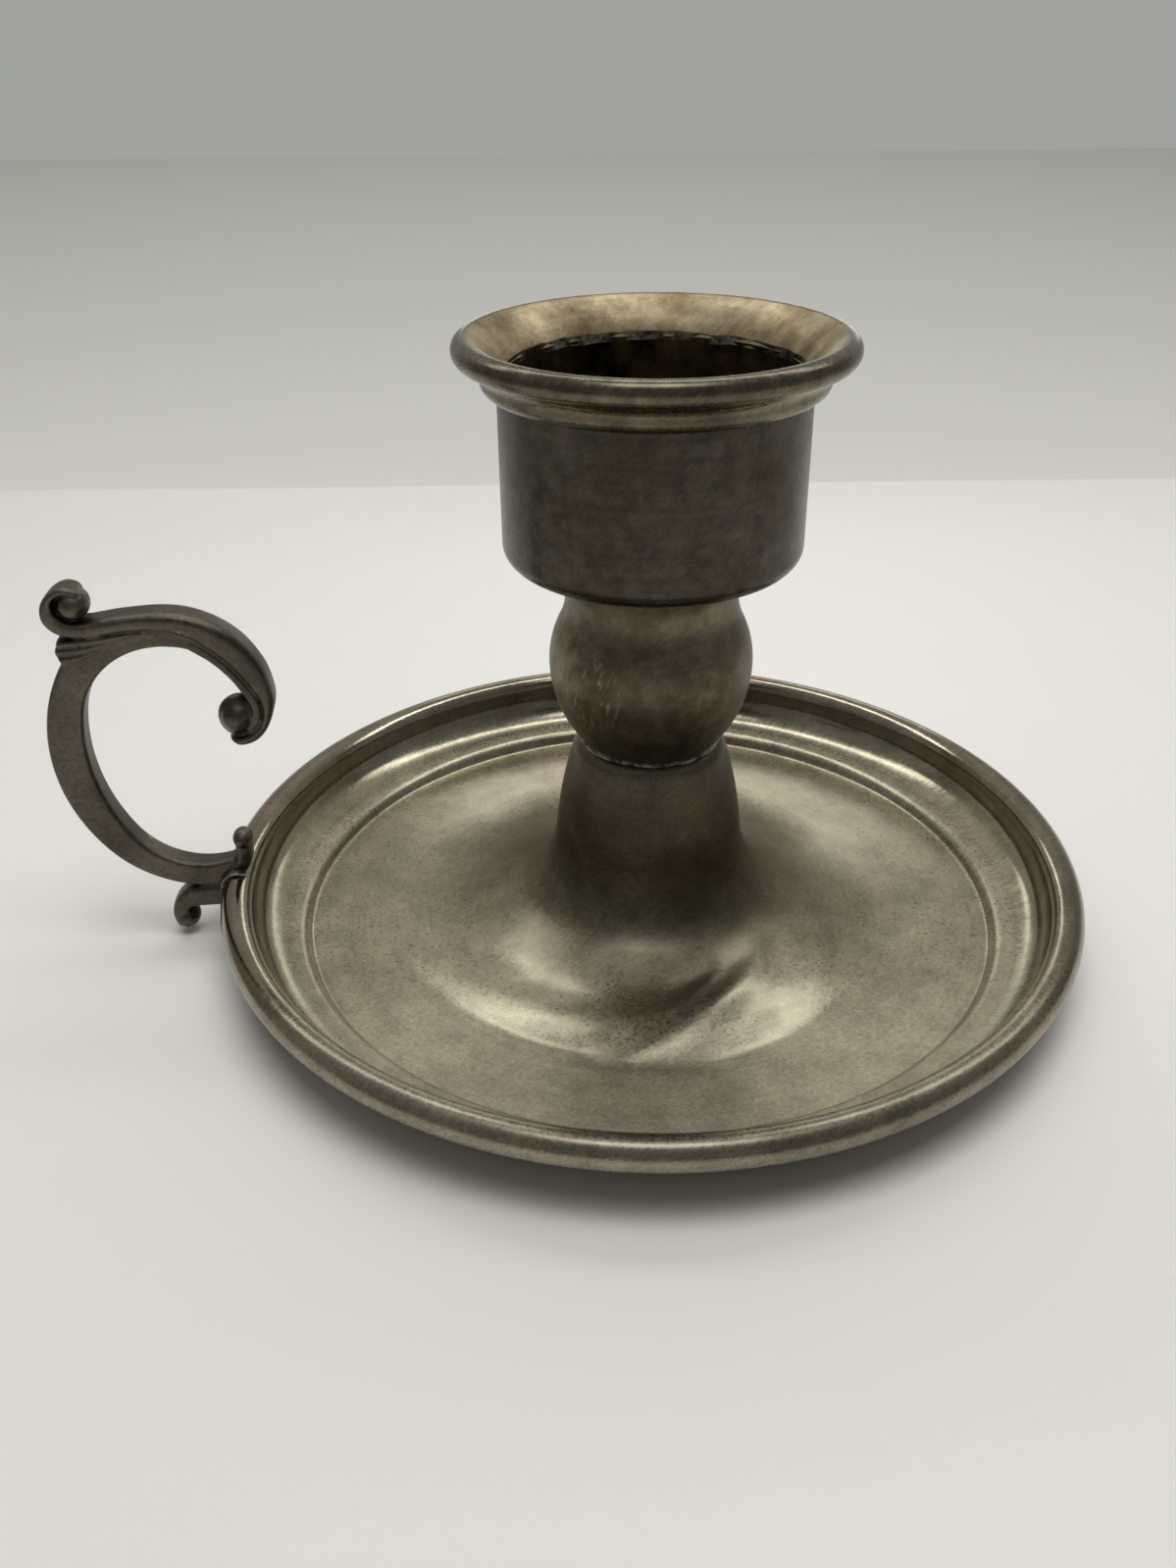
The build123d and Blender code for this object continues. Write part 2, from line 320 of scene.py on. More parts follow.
# %% Spun pewter
def spun_pewter():
    """Satin sheet pewter: clean on the floor, tarnished round the rim, brown up the stem."""
    made, tree, shader = start_material("spun_pewter_satin")
    place, radius, _, _ = round_axis(tree)
    patch = add(
        tree, "MapRange", {}, {"Value": clouds(tree, 14, 0.3, 0.7), "To Min": -0.22, "To Max": 0.22}
    ).outputs["Result"]
    rim = add(
        tree,
        "MapRange",
        {},
        {"Value": radius, "From Min": 62 * mm, "From Max": 75 * mm, "To Max": 0.7},
    ).outputs["Result"]
    stem = add(
        tree, "MapRange", {}, {"Value": radius, "From Min": 41 * mm, "From Max": 15 * mm}
    ).outputs["Result"]
    dulled = add(
        tree, "Math", {"operation": "ADD", "use_clamp": True}, {0: rim, 1: patch}
    ).outputs["Value"]
    browned = add(
        tree, "Math", {"operation": "ADD", "use_clamp": True}, {0: stem, 1: patch}
    ).outputs["Value"]
    dull = add(
        tree,
        "Mix",
        {"data_type": "RGBA"},
        {"Factor": dulled, 6: linear("#ADA691"), 7: linear("#7F796A")},
    ).outputs[2]
    brown = add(
        tree, "Mix", {"data_type": "RGBA"}, {"Factor": browned, 6: dull, 7: linear("#595344")}
    ).outputs[2]

    mottle = clouds(tree, 2.5, 0.3, 0.7)
    mottled = add(
        tree,
        "Mix",
        {"data_type": "RGBA", "blend_type": "OVERLAY"},
        {"Factor": 0.16, 6: brown, 7: mottle},
    ).outputs[2]
    lines = turned_lines(tree, line_spacing, 1.6)
    lined = add(
        tree,
        "Mix",
        {"data_type": "RGBA", "blend_type": "OVERLAY"},
        {"Factor": 0.2, 6: mottled, 7: lines},
    ).outputs[2]
    # Real scratches are finer than the picture can show; these are coarse enough to be seen
    one_way = scratches(tree, 0.22, 1.8, (20, 35, 50))
    other_way = scratches(tree, 0.22, 1.8, (-30, 15, -35))
    rubbed = add(
        tree, "Math", {"operation": "MAXIMUM"}, {0: one_way, 1: other_way}
    ).outputs["Value"]
    scratched = add(
        tree,
        "Mix",
        {"data_type": "RGBA", "blend_type": "OVERLAY"},
        {"Factor": 0.2, 6: lined, 7: rubbed},
    ).outputs[2]
    pitted = add(
        tree,
        "Mix",
        {"data_type": "RGBA"},
        {"Factor": clouds(tree, 0.4, 0.67, 0.74), 6: scratched, 7: linear("#5C5546")},
    ).outputs[2]
    # Painted shade: the colour darkens where ambient occlusion finds corners, in the step, the cove
    # and under the rolled rim
    corner = add(tree, "AmbientOcclusion", {"samples": 6}, {"Distance": 4 * mm}).outputs["AO"]
    painted_shade = add(
        tree,
        "MapRange",
        {},
        {"Value": corner, "From Min": 0.35, "From Max": 0.8, "To Min": 0.6, "To Max": 0.0},
    ).outputs["Result"]
    with_painted_shade = add(
        tree, "Mix", {"data_type": "RGBA"}, {"Factor": painted_shade, 6: pitted, 7: linear("#4F4839")}
    ).outputs[2]
    tree.links.new(with_painted_shade, shader.inputs["Base Color"])
    shader.inputs["Metallic"].default_value = 1.0

    floor = add(
        tree,
        "MapRange",
        {},
        {"Value": radius, "From Min": 43 * mm, "From Max": 48 * mm, "To Max": 0.2},
    ).outputs["Result"]
    depth = add(tree, "SeparateXYZ", {}, {"Vector": place}).outputs["Y"]
    front = add(
        tree, "MapRange", {}, {"Value": depth, "From Min": -20 * mm, "From Max": -50 * mm}
    ).outputs["Result"]
    scraped = add(tree, "Math", {"operation": "MULTIPLY"}, {0: floor, 1: front}).outputs["Value"]
    matt = add(
        tree,
        "MapRange",
        {},
        {"Value": browned, "From Min": 0.3, "From Max": 0.8, "To Min": 0.29, "To Max": 0.4},
    ).outputs["Result"]
    handled = add(
        tree,
        "MapRange",
        {},
        {"Value": radius, "From Min": 64 * mm, "From Max": 71 * mm, "To Max": -0.2},
    ).outputs["Result"]
    worked = add(tree, "Math", {"operation": "ADD"}, {0: scraped, 1: matt}).outputs["Value"]
    gloss = add(tree, "Math", {"operation": "ADD"}, {0: worked, 1: handled}).outputs["Value"]
    mixed = add(
        tree, "MapRange", {}, {"Value": rubbed, "To Min": -0.03, "To Max": 0.05}
    ).outputs["Result"]
    satin = add(tree, "Math", {"operation": "ADD"}, {0: gloss, 1: mixed}).outputs["Value"]
    tree.links.new(satin, shader.inputs["Roughness"])
    marks = add(tree, "Math", {"operation": "ADD"}, {0: lines, 1: rubbed}).outputs["Value"]
    bump = add(tree, "Bump", {}, {"Strength": 0.12, "Distance": 0.05 * mm, "Height": marks})
    tree.links.new(bump.outputs["Normal"], shader.inputs["Normal"])
    return made


pan_metal = spun_pewter()
print("material:", pan_metal.name)

# %% [markdown]
# ## Darkened pewter
# The cup, its mouth and the knop have kept an older, browner skin: tin oxide that was never
# polished off. A skin like that mirrors little straight on and much more at a grazing angle, so
# the cup is dark in front and grey at its sides. Brush lines run round it, and a cloth has worn
# some places lighter. Inside, years of hot wax have left an ochre stain, so the material asks
# which way the surface faces: towards the axis is inside.

# %% Darkened pewter
def dark_pewter(name, deep, worn, stain, soot, line_depth, roughness, knock=None):
    """Turned pewter under a brown oxide, stained by wax inside, with bright nicks near a knock."""
    made, tree, shader = start_material(name)
    place, _, _, outward = round_axis(tree)
    outside = add(
        tree,
        "Mix",
        {"data_type": "RGBA"},
        {"Factor": clouds(tree, 9, 0.34, 0.68), 6: linear(deep), 7: linear(worn)},
    ).outputs[2]
    inside = add(
        tree,
        "Mix",
        {"data_type": "RGBA"},
        {"Factor": clouds(tree, 4, 0.4, 0.65), 6: linear(stain), 7: linear(soot)},
    ).outputs[2]
    facing = add(tree, "NewGeometry", {}, {}).outputs["Normal"]
    turned_out = add(
        tree, "VectorMath", {"operation": "DOT_PRODUCT"}, {0: facing, 1: outward}
    ).outputs["Value"]
    hidden = add(
        tree, "MapRange", {}, {"Value": turned_out, "From Min": 0.1, "From Max": -0.35}
    ).outputs["Result"]
    metal = add(
        tree, "Mix", {"data_type": "RGBA"}, {"Factor": hidden, 6: outside, 7: inside}
    ).outputs[2]
    mottle = clouds(tree, 1.4, 0.3, 0.7)
    mottled = add(
        tree,
        "Mix",
        {"data_type": "RGBA", "blend_type": "OVERLAY"},
        {"Factor": 0.28, 6: metal, 7: mottle},
    ).outputs[2]
    lines = turned_lines(tree, line_spacing, 2.0)
    lined = add(
        tree,
        "Mix",
        {"data_type": "RGBA", "blend_type": "OVERLAY"},
        {"Factor": line_depth, 6: mottled, 7: lines},
    ).outputs[2]
    rubbed = scratches(tree, 0.2, 1.4, (25, 40, 15))
    scratched = add(
        tree,
        "Mix",
        {"data_type": "RGBA", "blend_type": "OVERLAY"},
        {"Factor": 0.14, 6: lined, 7: rubbed},
    ).outputs[2]
    pitted = add(
        tree,
        "Mix",
        {"data_type": "RGBA"},
        {"Factor": clouds(tree, 0.3, 0.68, 0.74), 6: scratched, 7: linear("#2E291F")},
    ).outputs[2]
    if knock:
        away = add(
            tree,
            "VectorMath",
            {"operation": "DISTANCE"},
            {0: place, 1: [side * mm for side in knock]},
        ).outputs["Value"]
        near = add(
            tree,
            "MapRange",
            {},
            {"Value": away, "From Min": 8 * mm, "From Max": 2 * mm, "To Max": 0.8},
        ).outputs["Result"]
        bright = scratches(tree, 0.3, 2.2, (10, 75, 20), 0.6, 0.64)
        nicks = add(tree, "Math", {"operation": "MULTIPLY"}, {0: near, 1: bright}).outputs["Value"]
        pitted = add(
            tree, "Mix", {"data_type": "RGBA"}, {"Factor": nicks, 6: pitted, 7: linear("#B4AD9A")}
        ).outputs[2]
    # Painted shade: the colour darkens where ambient occlusion finds corners, at the joints and
    # under the mouth's skirt
    corner = add(tree, "AmbientOcclusion", {"samples": 6}, {"Distance": 3 * mm}).outputs["AO"]
    painted_shade = add(
        tree,
        "MapRange",
        {},
        {"Value": corner, "From Min": 0.35, "From Max": 0.8, "To Min": 0.6, "To Max": 0.0},
    ).outputs["Result"]
    with_painted_shade = add(
        tree, "Mix", {"data_type": "RGBA"}, {"Factor": painted_shade, 6: pitted, 7: linear("#2E281D")}
    ).outputs[2]
    tree.links.new(with_painted_shade, shader.inputs["Base Color"])
    shader.inputs["Metallic"].default_value = 1.0
    waxed = add(
        tree,
        "MapRange",
        {},
        {"Value": turned_out, "From Min": 0.1, "From Max": -0.35, "To Max": 0.2},
    ).outputs["Result"]
    mixed = add(
        tree,
        "MapRange",
        {},
        {"Value": rubbed, "To Min": roughness - 0.04, "To Max": roughness + 0.05},
    ).outputs["Result"]
    gloss = add(tree, "Math", {"operation": "ADD"}, {0: mixed, 1: waxed}).outputs["Value"]
    tree.links.new(gloss, shader.inputs["Roughness"])
    bump = add(tree, "Bump", {}, {"Strength": 0.15, "Distance": 0.05 * mm, "Height": lines})
    tree.links.new(bump.outputs["Normal"], shader.inputs["Normal"])
    return made


cup_metal = dark_pewter(
    "turned_pewter_oxide",
    deep="#443E32",
    worn="#555149",
    stain="#6E6242",
    soot="#17130C",
    line_depth=0.3,
    roughness=0.31,
)
knop_metal = dark_pewter(
    "turned_pewter_mottled",
    deep="#4B4538",
    worn="#8B836F",
    stain="#5A4F33",
    soot="#2A2418",
    line_depth=0.25,
    roughness=0.45,
    knock=(-11.3, -11.3, 50.3),
)
mouth_metal = dark_pewter(
    "turned_pewter_worn",
    deep="#50493C",
    worn="#7A7361",
    stain="#B5A788",
    soot="#86775A",
    line_depth=0.3,
    roughness=0.27,
)
print("materials:", cup_metal.name, knop_metal.name, mouth_metal.name)

# %% [markdown]
# ## Cast pewter and solder
# The handle came out of a mould, so it has no lathe lines: its skin is slightly grainy and rubbed
# bright on the ridges where fingers hold it, and painted shade darkens its grooves. Solder is an
# alloy of tin and lead. It is brighter than the pewter beside it, lumpy, and smeared by the file.

# %% Cast pewter
def cast_pewter():
    """Grainy cast pewter, rubbed on its ridges, with painted shade in its grooves."""
    made, tree, shader = start_material("cast_pewter_rubbed")
    grain = clouds(tree, 0.4, 0.3, 0.7)
    metal = add(
        tree,
        "Mix",
        {"data_type": "RGBA"},
        {"Factor": clouds(tree, 6, 0.3, 0.7), 6: linear("#504C42"), 7: linear("#6C665A")},
    ).outputs[2]
    grainy = add(
        tree,
        "Mix",
        {"data_type": "RGBA", "blend_type": "OVERLAY"},
        {"Factor": 0.3, 6: metal, 7: grain},
    ).outputs[2]
    ridge = add(tree, "NewGeometry", {}, {}).outputs["Pointiness"]
    rubbed = add(
        tree, "MapRange", {}, {"Value": ridge, "From Min": 0.52, "From Max": 0.6, "To Max": 0.6}
    ).outputs["Result"]
    worn = add(
        tree, "Mix", {"data_type": "RGBA"}, {"Factor": rubbed, 6: grainy, 7: linear("#9C978A")}
    ).outputs[2]
    # Painted shade: the colour darkens where ambient occlusion finds the grooves between the straps
    corner = add(tree, "AmbientOcclusion", {"samples": 6}, {"Distance": 1.6 * mm}).outputs["AO"]
    painted_shade = add(
        tree,
        "MapRange",
        {},
        {"Value": corner, "From Min": 0.4, "From Max": 0.85, "To Min": 0.75, "To Max": 0.0},
    ).outputs["Result"]
    with_painted_shade = add(
        tree, "Mix", {"data_type": "RGBA"}, {"Factor": painted_shade, 6: worn, 7: linear("#26221B")}
    ).outputs[2]
    tree.links.new(with_painted_shade, shader.inputs["Base Color"])
    shader.inputs["Metallic"].default_value = 1.0
    gloss = add(
        tree, "MapRange", {}, {"Value": grain, "To Min": 0.34, "To Max": 0.48}
    ).outputs["Result"]
    tree.links.new(gloss, shader.inputs["Roughness"])
    bump = add(tree, "Bump", {}, {"Strength": 0.25, "Distance": 0.08 * mm, "Height": grain})
    tree.links.new(bump.outputs["Normal"], shader.inputs["Normal"])
    return made


handle_metal = cast_pewter()
print("material:", handle_metal.name)


# %% Solder
def soft_solder():
    """Bright, lumpy solder with dark flux in its hollows."""
    made, tree, shader = start_material("soft_solder_filed")
    lump = clouds(tree, 0.8, 0.36, 0.6)
    metal = add(
        tree,
        "Mix",
        {"data_type": "RGBA"},
        {"Factor": lump, 6: linear("#3D372D"), 7: linear("#969184")},
    ).outputs[2]
    tree.links.new(metal, shader.inputs["Base Color"])
    shader.inputs["Metallic"].default_value = 1.0
    gloss = add(
        tree, "MapRange", {}, {"Value": lump, "To Min": 0.45, "To Max": 0.28}
    ).outputs["Result"]
    tree.links.new(gloss, shader.inputs["Roughness"])
    bump = add(tree, "Bump", {}, {"Strength": 0.5, "Distance": 0.15 * mm, "Height": lump})
    tree.links.new(bump.outputs["Normal"], shader.inputs["Normal"])
    return made


solder_metal = soft_solder()
print("material:", solder_metal.name)

# %% [markdown]
# ## Drawing a moulding
# A turner thinks of a moulding as runs and bends that flow into each other, so the profiles are
# lists of moves: a length and a turn of 0 is a straight run, a radius and a turn is a tangent
# bend. The function walks along the moves and gives points, and it can walk at a distance to their
# right, which gives a sheet its other face.

# %% Walking along a moulding
bend_step = 4.0
longest_step = 0.8


def trace(start, heading, moves, aside=0.0):
    """Points along runs and tangent bends, or along their parallel at a distance to the right."""
    angle = radians(heading)
    point = np.array(start, float) + aside * np.array((sin(angle), -cos(angle)))
    points = [point]
    for size, turn in moves:
        side = 1 if turn > 0 else -1
        radius = size + side * aside
        length = abs(radians(turn)) * radius if turn else size
        steps = max(ceil(abs(turn) / bend_step), ceil(length / longest_step))
        for step in range(1, steps + 1):
            if turn:
                swung = angle + radians(turn) * step / steps
                across = np.array((sin(swung) - sin(angle), cos(angle) - cos(swung)))
                points.append(point + side * radius * across)
            else:
                points.append(point + size * step / steps * np.array((cos(angle), sin(angle))))
        angle += radians(turn)
        point = points[-1]
    return points


print("quarter bend ends at", trace((0, 0), 0, [(10, 90)])[-1].round(3))

# %% [markdown]
# ## Turning a piece
# On a lathe a profile becomes a round piece. Blender's spin does the same with a line of edges.
# The profile of a sheet goes out along one face and back along the other, so that the piece is
# closed, and a profile that starts and ends on the axis is left open there.

# %% Turning
turns = 320
sharp_angle = 38.0
weld_distance = 0.002


def finish_piece(form, name, metal, node):
    """Makes the object from its form, in place of the CAD node."""
    bmesh.ops.recalc_face_normals(form, faces=form.faces)
    mesh = bpy.data.meshes.new(name)
    form.to_mesh(mesh)
    form.free()
    mesh.shade_smooth()
    mesh.set_sharp_from_angle(angle=radians(sharp_angle))
    made = bpy.data.objects.new(name, mesh)
    scene.collection.objects.link(made)
    mesh.materials.append(metal)
    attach(made, "root")
    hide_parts(node)
    print(name, len(mesh.polygons), "faces")


def turn(profile, closed=True):
    """A round form whose profile is a list of radii and heights in millimetres."""
    form = bmesh.new()
    line = [form.verts.new((radius * mm, 0, height * mm)) for radius, height in profile]
    ends = line[1:] + line[:1] if closed else line[1:]
    edges = [form.edges.new(pair) for pair in zip(line, ends)]
    bmesh.ops.spin(
        form,
        geom=line + edges,
        cent=(0, 0, 0),
        axis=(0, 0, 1),
        angle=2 * pi,
        steps=turns,
        use_merge=True,
    )
    bmesh.ops.remove_doubles(form, verts=form.verts, dist=weld_distance * mm)
    return form


print("turns:", turns)

# %% [markdown]
# ## The pan
# The dish and the bell of the stem are one sheet. From the vent in the stem's top the profile
# drops over a shoulder, flares out into the floor, steps up to a ledge, sweeps up the wall and
# rolls over into the rim. The flare isn't true: a knock has pushed up a low, curving swell in
# front, whose outer foot is a crease. Polished metal shows such a swell as swirls of light, so it
# is in the mesh. The marks below give, at some angles round the axis, the radii where the swell
# starts, where its crest is and where its foot is, and how steeply it falls from the crest to the
# foot. The swirl turns them, by some degrees for each millimetre outward.

# %% Pan
sheet = 1.6
stem_top = 36.3
rim_height = 10.6
rim_radius = 73.3
rim_roll = 2.7
pan_moves = (
    (7.37, 0), (3.0, -73), (79.32, -12), (13.84, 60), (53.0, 25), (14.05, 0), (0.8, 65), (0.6, 0),
    (2.2, -55), (2.3, 0), (6.0, 80), (0.45, 0), (rim_roll, -280),
)
vent = (3.0, stem_top)
form = turn(trace(vent, 0, pan_moves) + trace(vent, 0, pan_moves, sheet)[::-1])

swirl = 2.8
swirl_start = 28.0
swirl_middle = 40.0
swirl_end = 48.0
swell_marks = (
    (-180, 30.0, 40.0, 46.0, 0.0),
    (-172, 30.0, 41.0, 48.0, 0.0),
    (-152, 30.0, 40.5, 47.5, 4.5),
    (-133, 30.0, 39.0, 45.6, 6.0),
    (-116, 29.0, 38.0, 44.4, 7.5),
    (-102, 24.0, 36.0, 44.0, 10.0),
    (-88, 24.0, 35.0, 46.0, 10.5),
    (-74, 25.0, 37.0, 45.8, 8.0),
    (-56, 26.0, 37.0, 44.4, 6.0),
    (-34, 26.0, 36.0, 41.0, 0.0),
    (180, 30.0, 40.0, 46.0, 0.0),
)


def swell(radius, angle):
    """How far the sheet is pushed up at this radius and angle, in millimetres and degrees."""
    outward = min(max(radius, swirl_start), swirl_end) - swirl_middle
    angle = min(max(angle + swirl * outward, -180.0), 180.0)
    for low, high in zip(swell_marks, swell_marks[1:]):
        if low[0] <= angle <= high[0]:
            share = (angle - low[0]) / (high[0] - low[0])
            share = share * share * (3 - 2 * share)
            start, crest, foot, fall = [a + (b - a) * share for a, b in zip(low[1:], high[1:])]
    up = min(max((radius - start) / (crest - start), 0), 1)
    down = min(max((foot - radius) / (foot - crest), 0), 1)
    height = tan(radians(fall)) * (foot - crest)
    return height * up * up * (3 - 2 * up) * (1.5 * down - 0.5 * down ** 3)


for vert in form.verts:
    angle = degrees(atan2(vert.co.y, vert.co.x))
    vert.co.z += swell(hypot(vert.co.x, vert.co.y) / mm, angle) * mm
finish_piece(form, "spun_pan", pan_metal, "pan")

# %% [markdown]
# ## The knop, the cup and its mouth
# The knop is a hollow pear with a vented base, the cup a straight tube with a rounded bottom
# corner, and the mouth a flared ring with a bead, a hollow and a round, whose skirt hides the
# cup's edge. They are turned like the dish.

# %% Knop
knop_wall = 1.6
knop_foot = (11.34, stem_top)
knop_slope = 46.83
knop_moves = ((20.9, 43.17), (16.5, 27), (9.5, -27), (10.0, -39))
cup_base = 68.7
outside = trace(knop_foot, knop_slope, knop_moves)
inside = trace(knop_foot, knop_slope, knop_moves, -knop_wall)
inside = [point for point in inside if point[1] < cup_base]
base_top = inside[0][1]
profile = outside + inside[::-1] + [(vent[0], base_top), (vent[0], stem_top)]
finish_piece(turn(profile), "pear_knop", knop_metal, "knop")

# %% Cup
cup_radius = 24.0
cup_wall = 1.6
cup_corner = 3.1
cup_top = 98.1
cup_moves = ((cup_radius - cup_corner, 0), (cup_corner, 90), (cup_top - cup_base - cup_corner, 0))
outside = trace((0, cup_base), 0, cup_moves)
inside = trace((0, cup_base), 0, cup_moves, -cup_wall)
form = turn(outside + inside[::-1], closed=False)
finish_piece(form, "straight_cup", cup_metal, "candle_cup")

# %% Mouth
mouth_slope = 63.6
skirt_depth = 2.9
mouth_moves = ((12.9, -33.6), (2.0, -195), (0.9, 0), (2.2, 75), (2.0, -70))
skirt_foot = cup_top - skirt_depth
profile = trace((cup_radius - cup_wall, cup_top), mouth_slope, mouth_moves)
profile = profile + [(cup_radius, skirt_foot), (cup_radius, cup_top)]
finish_piece(turn(profile), "flared_mouth", mouth_metal, "mouth_ring")

# %% [markdown]
# ## The handle
# The handle is the founder's showpiece: a C-shaped scroll for the finger, a strap for the thumb
# that lies along its top and rolls up at both ends, a curl that sits on the rim and a small scroll
# below. Each strap is a ribbon between two edges. The ribbons and the balls in the eyes of the
# scrolls run into each other, and a voxel remesh, which makes one skin over everything that
# overlaps, melts them together as the casting did.

# %% Ribbons
ring_points = 28
thinnest = 0.06
ball_segments = 32
ball_rings = 20


def even(points, count):
    """The same line with its points evenly spaced."""
    line = np.array(points)
    gone = np.concatenate(([0], np.cumsum(np.linalg.norm(np.diff(line, axis=0), axis=1))))
    wanted = np.linspace(0, gone[-1], count)
    return np.stack([np.interp(wanted, gone, line[:, axis]) for axis in (0, 1)], axis=1)


def ribbon(form, one_edge, other_edge, half_widths, hollow=0.0, corner=0.5, count=90, tip=0.0):
    """A strap between two edges: a low corner squares it, hollow sinks its sides, tip rounds it."""
    one = even(one_edge, count)
    other = even(other_edge, count)
    shares = np.linspace(0, 1, count)
    widths = np.interp(shares, np.linspace(0, 1, len(half_widths)), half_widths)
    rings = []
    for near, far, width, share in zip(one, other, widths, shares):
        gone = max(0.0, (share - 1 + tip) / tip) if tip else 0.0
        full = max(sqrt(1 - gone * gone), thinnest)
        ring = []
        for k in range(ring_points):
            around = 2 * pi * k / ring_points
            depth = np.sign(cos(around)) * abs(cos(around)) ** corner
            aside = np.sign(sin(around)) * abs(sin(around)) ** corner
            reach, height = (near + far) / 2 + (near - far) / 2 * depth * full
            aside *= width * full * (1 - hollow * (1 - depth * depth))
            ring.append(form.verts.new((-reach * mm, aside * mm, height * mm)))
        rings.append(ring)
    for ring, after in zip(rings, rings[1:]):
        for k in range(ring_points):
            form.faces.new((ring[k - 1], ring[k], after[k], after[k - 1]))
    form.faces.new(rings[0])
    form.faces.new(rings[-1][::-1])


def ball(form, middle, radius, half_width):
    """A rounded eye of a scroll, as wide as it is told across the handle."""
    place = Matrix.Translation(Vector((-middle[0], 0, middle[1])) * mm)
    size = Matrix.Diagonal((radius * mm, half_width * mm, radius * mm, 1))
    bmesh.ops.create_uvsphere(
        form, u_segments=ball_segments, v_segments=ball_rings, radius=1, matrix=place @ size
    )


def from_rim(reach, rise):
    """A point given from the middle of the rolled rim."""
    return rim_radius + reach, rim_height + rise


def through(*points):
    """A smooth line through points that are given from the middle of the rolled rim."""
    marks = [np.array(from_rim(*point)) for point in points]
    marks = [2 * marks[0] - marks[1], *marks, 2 * marks[-1] - marks[-2]]
    line = [marks[1]]
    for before, start, end, after in zip(marks, marks[1:], marks[2:], marks[3:]):
        for share in np.linspace(0.1, 1, 10):
            bend = 2 * before - 5 * start + 4 * end - after
            swing = 3 * (start - end) + after - before
            line.append(start + 0.5 * share * (end - before + share * (bend + share * swing)))
    return line


print("ribbon, ball and through are ready")

# %% Finger loop
form = bmesh.new()
loop_outer = ((3.7, 0), (22.2, 53.5), (30.7, 71.5), (11.0, 54.9), (7.9, 0), (15.2, 70), (1.6, 0))
loop_inner = ((13.8, 77.8), (32.6, 43.8), (14.5, 147.3))
outer = trace(from_rim(0, -0.4), 0, loop_outer)
inner = trace(from_rim(0.3, 4.9), -18.9, loop_inner)
ribbon(form, outer, inner, (2.3, 2.6, 2.6, 2.5, 2.4, 2.3), hollow=0.1, corner=0.35, count=140)
print("finger loop:", len(form.faces), "faces")

# %% Thumb strap
strap_top = through(
    (17.3, 51.0), (14.8, 51.4), (11.8, 51.8), (6.0, 52.1), (1.2, 51.4), (-3.3, 49.3),
    (-6.8, 46.2), (-9.5, 41.6), (-10.5, 37.1), (-10.3, 34.3), (-9.0, 30.8), (-6.9, 28.5),
    (-4.3, 27.7), (-2.0, 28.2),
)
strap_under = through(
    (18.5, 48.5), (16.6, 48.4), (11.7, 49.0), (6.8, 49.1), (3.6, 48.4), (0.9, 47.1),
    (-2.9, 43.8), (-5.8, 40.2), (-7.7, 37.2), (-8.5, 34.6), (-8.0, 32.2), (-6.5, 30.4),
    (-4.5, 29.4), (-2.4, 29.4),
)
strap_widths = (3.0, 3.05, 3.05, 3.0, 2.9, 2.6)
ribbon(form, strap_top, strap_under, strap_widths, corner=0.6, count=170, tip=0.05)
roll_outer = through(
    (15.0, 48.4), (19.0, 48.3), (22.2, 49.2), (23.9, 51.3), (23.8, 53.8), (22.3, 55.8),
    (19.9, 56.9), (17.8, 56.2), (17.0, 55.0),
)
roll_inner = through(
    (15.0, 51.2), (18.2, 51.0), (20.2, 51.4), (21.4, 52.6), (21.7, 54.0), (21.0, 55.2),
    (19.8, 55.7), (18.6, 55.5), (17.6, 54.9),
)
ribbon(form, roll_outer, roll_inner, (3.0, 3.0, 2.95, 2.7, 2.4), corner=0.55, count=110, tip=0.1)
ball(form, from_rim(19.0, 53.6), 2.6, 3.5)
print("with the thumb strap:", len(form.faces), "faces")

# %% Leaf under the thumb
leaf_lobes = (
    (
        ((22.3, 48.1), (17.0, 48.5), (12.0, 49.0), (8.5, 49.1)),
        ((22.4, 46.6), (18.0, 47.0), (13.9, 47.6), (9.0, 48.6)),
        2.85,
    ),
    (
        ((22.8, 46.9), (18.0, 47.3), (13.9, 47.8), (11.0, 48.3)),
        ((22.8, 45.1), (19.0, 45.5), (16.2, 46.4), (12.0, 47.7)),
        2.75,
    ),
    (
        ((22.8, 45.4), (19.0, 45.9), (16.2, 46.7), (13.0, 47.4)),
        ((21.9, 43.3), (19.8, 43.9), (16.5, 45.3), (13.0, 46.7)),
        2.68,
    ),
)
for top, under, half_width in leaf_lobes:
    half_widths = (half_width - 0.25, half_width, half_width, half_width - 0.2)
    ribbon(form, through(*top), through(*under), half_widths, corner=0.7, count=50)
print("with the leaf:", len(form.faces), "faces")

# %% Hook, curl and lower scroll
wrap_outer = through(
    (0.8, 47.0), (-2.9, 43.7), (-5.8, 39.9), (-7.7, 36.8), (-8.4, 34.5), (-8.0, 32.2),
    (-6.7, 30.4), (-5.0, 29.4),
)
wrap_inner = through(
    (2.4, 45.7), (-1.2, 43.1), (-3.8, 40.2), (-5.4, 37.5), (-6.5, 35.1), (-6.5, 32.9),
    (-5.7, 31.3), (-4.6, 30.3),
)
ribbon(form, wrap_outer, wrap_inner, (2.3, 2.45, 2.5, 2.55, 2.5), corner=0.45, count=90, tip=0.1)
ball(form, from_rim(-4.6, 32.5), 3.9, 2.6)
ball(form, from_rim(-4.1, 32.7), 3.0, 3.5)

curl = ((3.2, 0), (4.4, -90), (2.6, 0))
curl_start = from_rim(4.7, 1.0)
curl_depth = 2.6
curl_top = trace(curl_start, 180, curl)
curl_under = trace(curl_start, 180, curl, curl_depth)
ribbon(form, curl_top, curl_under, (2.2, 2.3, 2.1), tip=0.12)
ball(form, from_rim(-1.5, 8.3), 1.75, 2.5)

